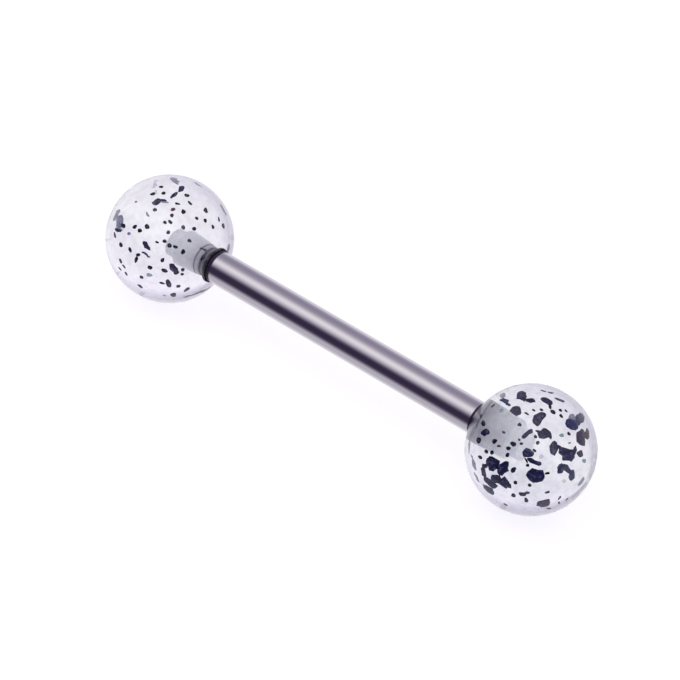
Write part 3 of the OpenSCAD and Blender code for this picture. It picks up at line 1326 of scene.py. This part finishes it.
@dataclass(frozen=True)
class Glitter:
    """Glitter cast into one ball: the flakes in the photograph, and more of them on its far side."""

    name: str
    body: str
    slot: str
    chart: tuple[Flake, ...]
    ball: AcrylicBall
    camera: Vector
    seed: int
    far_per_mm2: float
    far_long: tuple[float, float]
    thickness: float = 0.05
    corners: int = 12
    # How far below the ball's surface the charted flakes lie. Those longer than deep_long lie less
    # deep, by the square of their length
    shallow: float = 0.16
    deep: float = 0.7
    deep_long: float = 0.25
    # Room that a flake keeps from the hole, and the share of its whole reach that it keeps at least
    room: float = 0.1
    least_reach: float = 0.5
    # How much a charted flake faces the camera and the ball's surface, and how much it is tumbled
    to_camera: float = 0.6
    to_surface: float = 0.4
    tumble: float = 0.2
    # Black flakes longer than this are chips, of a bluer film than the specks
    chip_long: float = 0.35
    # Ragged outlines cut the chips back to less than the charted size, so they start larger. The
    # picture's blur makes the specks look larger than they are
    chip_fullness: float = 1.2
    speck_fullness: float = 0.95
    # The far side's flakes are strewn on a sphere, and each is then moved to between these shares of
    # its radius from the ball's middle
    far_radius: float = 2.65
    far_detail: int = 4
    far_shares: tuple[float, float] = (0.93, 1.05)
    # They lie between these angles, in degrees, from the side that faces the camera, because what
    # lies there doesn't show through the ball in the photograph
    far_from_deg: float = 92.0
    far_to_deg: float = 156.0
    # Their widths as shares of their lengths, and the power that turns even chances of all tints
    # into mostly ink
    far_widths: tuple[float, float] = (0.5, 1.0)
    far_ink_power: float = 5.0
    # How far a flake's outline is pulled about, as a share of its length, and over what distance
    ragged_share: float = 0.6
    ragged_grain: float = 0.25
    # Room that the flakes keep from the ball's wall, and the distance over which they bend along it
    wall_room: float = 0.03
    wall_give: float = 0.1

    def view_axes(self) -> tuple[Vector, Vector, Vector]:
        """Give the picture's directions at this ball.

        Returns:
            Unit vectors along the pictured bar, up from it, and to the camera.
        """
        back = (self.camera - self.ball.middle).normalized()
        bar = Vector((1, 0, 0))
        along = (bar - bar.dot(back) * back).normalized()
        return along, back.cross(along), back

    def place(self, flake: Flake, depth: float) -> tuple[Vector, Vector, float]:
        """Find where a flake lies so that it shows at its charted place through the curved surface.

        Args:
            flake: The charted flake.
            depth: How far below the ball's surface it lies.

        Returns:
            The flake's place, the direction straight out from the ball's middle through it, and how
            much larger than it is it shows.
        """
        along, up, back = self.view_axes()
        ball = self.ball
        offset = math.hypot(flake.along, flake.up)
        radius = ball.radius - depth
        bend = ball.cast.ior
        # A ray bends where it goes into the ball, and then runs straight to the flake
        at_surface = math.asin(offset / ball.radius)
        bent_inwards = math.asin(offset / (bend * ball.radius))
        angle = math.asin(offset / (bend * radius)) + at_surface - bent_inwards
        across = (along * flake.along + up * flake.up) / offset if offset else along
        out = across * math.sin(angle) + back * math.cos(angle)
        enlarged = offset / (radius * math.sin(angle)) if offset else 1.0
        return ball.middle + out * radius, out, enlarged

    def clear_of_hole(self, place: Vector, reach: float) -> bool:
        """Say whether a flake stays in the acrylic.

        Args:
            place: The flake's place.
            reach: How far from its place the flake reaches.

        Returns:
            Whether it is past the hole's bottom, or beside the recess and the hole.
        """
        ball = self.ball
        if abs(place.x) > ball.bottom_x + reach:
            return True
        return math.hypot(place.y, place.z - ball.axis_z) > ball.recess_r + reach

    def settle(self, flake: Flake, chance: random.Random) -> tuple[Vector, Vector, float] | None:
        """Find a place for a charted flake at a chance depth, or near the surface where that fails.

        Args:
            flake: The charted flake.
            chance: Source of random numbers.

        Returns:
            What place gives, or None for a flake that has no room beside the hole.
        """
        reach = flake.long / 2 + self.room
        depths = (self.deep - self.shallow) * min(1.0, self.deep_long / flake.long) ** 2
        settled = self.place(flake, chance.uniform(self.shallow, self.shallow + depths))
        if not self.clear_of_hole(settled[0], reach):
            settled = self.place(flake, self.shallow)
        return settled if self.clear_of_hole(settled[0], reach * self.least_reach) else None

    def attitude(self, flake: Flake, out: Vector, chance: random.Random) -> Euler:
        """Turn a charted flake so that its long side shows at the charted angle.

        Args:
            flake: The charted flake.
            out: Direction straight out from the ball's middle.
            chance: Source of random numbers.

        Returns:
            The turn that takes a flake from lying along X, facing up.
        """
        along, up, back = self.view_axes()
        tumble = Vector([chance.uniform(-self.tumble, self.tumble) for _ in "xyz"])
        facing = (back * self.to_camera + out * self.to_surface + tumble).normalized()
        turn = math.radians(flake.turn)
        length = along * math.cos(turn) + up * math.sin(turn)
        length = (length - length.dot(facing) * facing).normalized()
        return Matrix((length, facing.cross(length), facing)).transposed().to_euler()

    def charted(self) -> bpy.types.Mesh:
        """Turn the chart into a cloud of points that carry each flake's size, turn and tint.

        Returns:
            The cloud as a mesh without faces, in metres.
        """
        chance = random.Random(self.seed)
        places = []
        sizes = []
        turns = []
        tints = []
        for flake in self.chart:
            settled = self.settle(flake, chance)
            if settled is None:
                LOG.info("%s leaves out the flake at %.2f, %.2f", self.name, flake.along, flake.up)
                continue
            place, out, enlarged = settled
            chip = flake.long > self.chip_long
            share = (self.chip_fullness if chip else self.speck_fullness) / enlarged
            black = Tint.NIGHT if chip else Tint.INK
            places.append(place * MM)
            sizes.extend((flake.long * share * MM, flake.wide * share * MM, self.thickness * MM))
            turns.extend(self.attitude(flake, out, chance))
            tints.append((flake.tint or black).place)
        cloud = bpy.data.meshes.new(self.name)
        cloud.from_pydata(places, [], [])
        cloud.attributes.new("size", "FLOAT_VECTOR", "POINT").data.foreach_set("vector", sizes)
        cloud.attributes.new("turn", "FLOAT_VECTOR", "POINT").data.foreach_set("vector", turns)
        cloud.attributes.new("tint", "FLOAT", "POINT").data.foreach_set("value", tints)
        return cloud

    def unwanted_nodes(
        self,
        tree: bpy.types.GeometryNodeTree,
        get: bpy.types.NodeOutputs,
    ) -> bpy.types.Node:
        """Add the nodes that pick the points outside the far side's belt or too near the bar.

        Args:
            tree: Tree that gets the nodes.
            get: The tree's inputs by name.

        Returns:
            The node that says of each point whether it has to go.
        """
        here = add_node(tree, "GeometryNodeInputPosition")
        outward = add_node(
            tree, "ShaderNodeVectorMath", operation="NORMALIZE", links={0: here.outputs["Position"]},
        )
        facing = add_node(
            tree, "ShaderNodeVectorMath", operation="DOT_PRODUCT",
            links={0: outward.outputs["Vector"], 1: get["To camera"]},
        )
        too_near = add_node(
            tree, "FunctionNodeCompare", operation="GREATER_THAN",
            links={"A": facing.outputs["Value"], "B": get["Nearest cosine"]},
        )
        too_far = add_node(
            tree, "FunctionNodeCompare", operation="LESS_THAN",
            links={"A": facing.outputs["Value"], "B": get["Farthest cosine"]},
        )
        level = add_node(
            tree, "ShaderNodeVectorMath", operation="MULTIPLY", values={1: (0, 1, 1)},
            links={0: here.outputs["Position"]},
        )
        from_bar = add_node(
            tree, "ShaderNodeVectorMath", operation="LENGTH", links={0: level.outputs["Vector"]},
        )
        on_bar = add_node(
            tree, "FunctionNodeCompare", operation="LESS_THAN",
            links={"A": from_bar.outputs["Value"], "B": get["Bar clearance"]},
        )
        outside = add_node(
            tree, "FunctionNodeBooleanMath", operation="OR",
            links={0: too_near.outputs["Result"], 1: too_far.outputs["Result"]},
        )
        return add_node(
            tree, "FunctionNodeBooleanMath", operation="OR",
            links={0: outside.outputs["Boolean"], 1: on_bar.outputs["Result"]},
        )

    def far_nodes(
        self,
        tree: bpy.types.GeometryNodeTree,
        get: bpy.types.NodeOutputs,
    ) -> bpy.types.Node:
        """Add the nodes that strew points through the ball's far side.

        Args:
            tree: Tree that gets the nodes.
            get: The tree's inputs by name.

        Returns:
            The node that gives the points in place.
        """
        shell = add_node(
            tree, "GeometryNodeMeshIcoSphere", values={"Subdivisions": self.far_detail},
            links={"Radius": get["Shell radius"]},
        )
        spread = add_node(
            tree, "GeometryNodeDistributePointsOnFaces",
            links={"Mesh": shell.outputs["Mesh"], "Density": get["Density"], "Seed": get["Seed"]},
        )
        unwanted = self.unwanted_nodes(tree, get)
        kept = add_node(
            tree, "GeometryNodeDeleteGeometry", domain="POINT",
            links={"Geometry": spread.outputs["Points"], "Selection": unwanted.outputs["Boolean"]},
        )
        here = add_node(tree, "GeometryNodeInputPosition")
        share = add_node(
            tree, "FunctionNodeRandomValue", data_type="FLOAT",
            values={"Min": self.far_shares[0], "Max": self.far_shares[1]},
            links={"Seed": get["Seed"]},
        )
        deeper = add_node(
            tree, "ShaderNodeVectorMath", operation="SCALE",
            links={0: here.outputs["Position"], "Scale": share.outputs[RANDOM_FLOAT]},
        )
        sunk = add_node(
            tree, "GeometryNodeSetPosition",
            links={"Geometry": kept.outputs["Geometry"], "Position": deeper.outputs["Vector"]},
        )
        return add_node(
            tree, "GeometryNodeSetPosition",
            links={"Geometry": sunk.outputs["Geometry"], "Offset": get["Middle"]},
        )

    def chance_nodes(
        self,
        tree: bpy.types.GeometryNodeTree,
        get: bpy.types.NodeOutputs,
        points: bpy.types.Node,
    ) -> bpy.types.Node:
        """Add the nodes that give the far side's points chance sizes, turns and tints.

        Args:
            tree: Tree that gets the nodes.
            get: The tree's inputs by name.
            points: The node that gives the points.

        Returns:
            The node that gives the points with their size, turn and tint.
        """
        length = add_node(
            tree, "FunctionNodeRandomValue", data_type="FLOAT",
            links={"Min": get["Smallest"], "Max": get["Largest"], "Seed": get["Seed"]},
        )
        # By the point's number instead of its ID, so that the widths don't follow the lengths
        number = add_node(tree, "GeometryNodeInputIndex")
        share = add_node(
            tree, "FunctionNodeRandomValue", data_type="FLOAT",
            values={"Min": self.far_widths[0], "Max": self.far_widths[1]},
            links={"Seed": get["Seed"], "ID": number.outputs["Index"]},
        )
        width = add_node(
            tree, "ShaderNodeMath", operation="MULTIPLY",
            links={0: length.outputs[RANDOM_FLOAT], 1: share.outputs[RANDOM_FLOAT]},
        )
        size = add_node(tree, "ShaderNodeCombineXYZ", links={
            "X": length.outputs[RANDOM_FLOAT],
            "Y": width.outputs["Value"],
            "Z": get["Thickness"],
        })
        any_turn = add_node(
            tree, "FunctionNodeRandomValue", data_type="FLOAT_VECTOR",
            values={"Max": (math.tau,) * 3}, links={"Seed": get["Seed"]},
        )
        any_tint = add_node(
            tree, "FunctionNodeRandomValue", data_type="FLOAT",
            values={"Min": 0.0, "Max": 1.0}, links={"Seed": get["Seed"]},
        )
        mostly_ink = add_node(
            tree, "ShaderNodeMath", operation="POWER", values={1: self.far_ink_power},
            links={0: any_tint.outputs[RANDOM_FLOAT]},
        )
        stored = points
        for name, kind, value in (
            ("size", "FLOAT_VECTOR", size.outputs["Vector"]),
            ("turn", "FLOAT_VECTOR", any_turn.outputs[RANDOM_VECTOR]),
            ("tint", "FLOAT", mostly_ink.outputs["Value"]),
        ):
            stored = add_node(
                tree, "GeometryNodeStoreNamedAttribute", data_type=kind, domain="POINT",
                values={"Name": name}, links={"Geometry": stored.outputs["Geometry"], "Value": value},
            )
        return stored

    def cut_nodes(
        self,
        tree: bpy.types.GeometryNodeTree,
        get: bpy.types.NodeOutputs,
        points: bpy.types.Node,
    ) -> bpy.types.Node:
        """Add the nodes that put a flake on every point and cut its ragged outline.

        Args:
            tree: Tree that gets the nodes.
            get: The tree's inputs by name.
            points: The node that gives the points with their size, turn and tint.

        Returns:
            The node that gives the flakes as one mesh.
        """
        disc = add_node(
            tree, "GeometryNodeMeshCylinder", values={"Radius": 0.5, "Depth": 1.0},
            links={"Vertices": get["Corners"]},
        )
        size = add_node(
            tree, "GeometryNodeInputNamedAttribute", data_type="FLOAT_VECTOR", values={"Name": "size"},
        )
        turn = add_node(
            tree, "GeometryNodeInputNamedAttribute", data_type="FLOAT_VECTOR", values={"Name": "turn"},
        )
        rotation = add_node(
            tree, "FunctionNodeEulerToRotation", links={"Euler": turn.outputs["Attribute"]},
        )
        flakes = add_node(tree, "GeometryNodeInstanceOnPoints", links={
            "Points": points.outputs["Geometry"],
            "Instance": disc.outputs["Mesh"],
            "Rotation": rotation.outputs["Rotation"],
            "Scale": size.outputs["Attribute"],
        })
        whole = add_node(
            tree, "GeometryNodeRealizeInstances", links={"Geometry": flakes.outputs["Instances"]},
        )
        here = add_node(tree, "GeometryNodeInputPosition")
        ragged = add_node(
            tree, "ShaderNodeTexNoise", values={"Detail": 1.0},
            links={"Vector": here.outputs["Position"], "Scale": get["Ragged grain"]},
        )
        centred = add_node(
            tree, "ShaderNodeVectorMath", operation="SUBTRACT", values={1: (0.5, 0.5, 0.5)},
            links={0: ragged.outputs["Color"]},
        )
        sides = add_node(
            tree, "ShaderNodeSeparateXYZ", links={"Vector": size.outputs["Attribute"]},
        )
        reach = add_node(
            tree, "ShaderNodeMath", operation="MULTIPLY",
            links={0: sides.outputs["X"], 1: get["Ragged share"]},
        )
        pull = add_node(
            tree, "ShaderNodeVectorMath", operation="SCALE",
            links={0: centred.outputs["Vector"], "Scale": reach.outputs["Value"]},
        )
        return add_node(
            tree, "GeometryNodeSetPosition",
            links={"Geometry": whole.outputs["Geometry"], "Offset": pull.outputs["Vector"]},
        )

    def wall_nodes(
        self,
        tree: bpy.types.GeometryNodeTree,
        get: bpy.types.NodeOutputs,
        flakes: bpy.types.Node,
    ) -> bpy.types.Node:
        """Add the nodes that bend along the mould's wall what would reach it.

        Within the give, a point's distance from the ball's middle grows more slowly.

        Args:
            tree: Tree that gets the nodes.
            get: The tree's inputs by name.
            flakes: The node that gives the flakes as one mesh.

        Returns:
            The node that gives the flakes inside the wall.
        """
        here = add_node(tree, "GeometryNodeInputPosition")
        reached = add_node(
            tree, "ShaderNodeVectorMath", operation="SUBTRACT",
            links={0: here.outputs["Position"], 1: get["Middle"]},
        )
        distance = add_node(
            tree, "ShaderNodeVectorMath", operation="LENGTH", links={0: reached.outputs["Vector"]},
        )
        start = add_node(
            tree, "ShaderNodeMath", operation="SUBTRACT",
            links={0: get["Wall radius"], 1: get["Wall give"]},
        )
        twice_past = add_node(
            tree, "ShaderNodeMath", operation="MULTIPLY_ADD", values={1: 2.0},
            links={0: get["Wall give"], 2: get["Wall radius"]},
        )
        slowed = add_node(tree, "ShaderNodeMapRange", clamp=False, links={
            "Value": distance.outputs["Value"],
            "From Min": start.outputs["Value"],
            "From Max": twice_past.outputs["Value"],
            "To Min": start.outputs["Value"],
            "To Max": get["Wall radius"],
        })
        held = add_node(
            tree, "ShaderNodeMath", operation="MINIMUM",
            links={0: distance.outputs["Value"], 1: slowed.outputs["Result"]},
        )
        share = add_node(
            tree, "ShaderNodeMath", operation="DIVIDE",
            links={0: held.outputs["Value"], 1: distance.outputs["Value"]},
        )
        within = add_node(
            tree, "ShaderNodeVectorMath", operation="SCALE",
            links={0: reached.outputs["Vector"], "Scale": share.outputs["Value"]},
        )
        placed = add_node(
            tree, "ShaderNodeVectorMath", operation="ADD",
            links={0: within.outputs["Vector"], 1: get["Middle"]},
        )
        return add_node(
            tree, "GeometryNodeSetPosition",
            links={"Geometry": flakes.outputs["Geometry"], "Position": placed.outputs["Vector"]},
        )

    def scatter_tree(self, material: bpy.types.Material) -> bpy.types.GeometryNodeTree:
        """Build the tree that adds the far side's flakes to the charted ones and shapes them all.

        Args:
            material: Material of the flakes.

        Returns:
            The Geometry Nodes tree.
        """
        tree, given, result = new_growth(f"{self.name}_scatter", {
            "Middle": "NodeSocketVector",
            "To camera": "NodeSocketVector",
            "Shell radius": "NodeSocketFloat",
            "Density": "NodeSocketFloat",
            "Nearest cosine": "NodeSocketFloat",
            "Farthest cosine": "NodeSocketFloat",
            "Bar clearance": "NodeSocketFloat",
            "Smallest": "NodeSocketFloat",
            "Largest": "NodeSocketFloat",
            "Thickness": "NodeSocketFloat",
            "Corners": "NodeSocketInt",
            "Ragged share": "NodeSocketFloat",
            "Ragged grain": "NodeSocketFloat",
            "Wall radius": "NodeSocketFloat",
            "Wall give": "NodeSocketFloat",
            "Seed": "NodeSocketInt",
        })
        get = given.outputs
        scattered = self.chance_nodes(tree, get, self.far_nodes(tree, get))
        seen = add_node(tree, "GeometryNodeMeshToPoints", links={"Mesh": get["Geometry"]})
        points = add_node(tree, "GeometryNodeJoinGeometry")
        tree.links.new(scattered.outputs["Geometry"], points.inputs["Geometry"])
        tree.links.new(seen.outputs["Points"], points.inputs["Geometry"])
        flakes = self.wall_nodes(tree, get, self.cut_nodes(tree, get, points))
        painted = add_node(
            tree, "GeometryNodeSetMaterial", values={"Material": material},
            links={"Geometry": flakes.outputs["Geometry"]},
        )
        tree.links.new(painted.outputs["Geometry"], result.inputs["Geometry"])
        return tree

    def build(self) -> bpy.types.Object:
        """Build the ball's glitter and put it on the ball's body.

        Returns:
            The glitter.
        """
        ball = self.ball
        back = self.view_axes()[2]
        piece = new_piece(self.name, self.charted())
        grow(piece, self.scatter_tree(GlitterFoil().material()), {
            "Middle": (ball.centre_x * ball.side.value * MM, 0.0, ball.axis_z * MM),
            "To camera": tuple(back),
            "Shell radius": self.far_radius * MM,
            "Density": self.far_per_mm2 / MM ** 2,
            "Nearest cosine": math.cos(math.radians(self.far_from_deg)),
            "Farthest cosine": math.cos(math.radians(self.far_to_deg)),
            "Bar clearance": (ball.recess_r + self.far_long[1] / 2 + self.room) * MM,
            "Smallest": self.far_long[0] * MM,
            "Largest": self.far_long[1] * MM,
            "Thickness": self.thickness * MM,
            "Corners": self.corners,
            "Ragged share": self.ragged_share,
            "Ragged grain": 1 / (self.ragged_grain * MM),
            "Wall radius": (ball.radius - self.wall_room) * MM,
            "Wall give": self.wall_give * MM,
            "Seed": self.seed,
        })
        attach(piece, self.body)
        return piece


def main() -> None:
    """Build the studio and the barbell piece by piece, and log each one."""
    logging.basicConfig(level=logging.INFO, format="%(name)s: %(message)s")
    studio = Studio()
    studio.place_camera()
    studio.light()
    studio.lay_floor()
    mount = frame["record"]["mounts"][0]["dims"]
    low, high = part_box("right_ball")
    ball_r = (high.z - low.z) / 2 / MM
    bar = SteelBar(
        shaft_r=mount["r_mm"],
        wear_length=mount["length_mm"],
        tip_x=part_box("bar")[1].x / MM,
        axis_z=ball_r,
    )
    report(bar.build())
    for side, slot in ((Side.LEFT, "acrylic_fine_glitter"), (Side.RIGHT, "acrylic_coarse_glitter")):
        coarse = side is Side.RIGHT
        ball = AcrylicBall(
            name=f"{side.name.lower()}_ball_acrylic",
            side=side,
            slot=slot,
            radius=ball_r,
            centre_x=high.x / MM - ball_r,
            axis_z=ball_r,
            rim_x=bar.rim_x,
            cast=CastAcrylic("#eeeef3", "#d6d6e0") if coarse else CastAcrylic(),
            hole_painted_light=RIGHT_PAINTED_LIGHT if coarse else LEFT_PAINTED_LIGHT,
        )
        report(ball.build())
        glitter = Glitter(
            name=f"{side.name.lower()}_glitter",
            body=f"{side.name.lower()}_ball",
            slot=slot,
            chart=COARSE_GLITTER if coarse else FINE_GLITTER,
            ball=ball,
            camera=studio.camera_place(),
            seed=7,
            far_per_mm2=1.3 if coarse else 1.7,
            far_long=(0.18, 0.56) if coarse else (0.16, 0.3),
        )
        report(glitter.build())


if __name__ == "__main__":
    main()
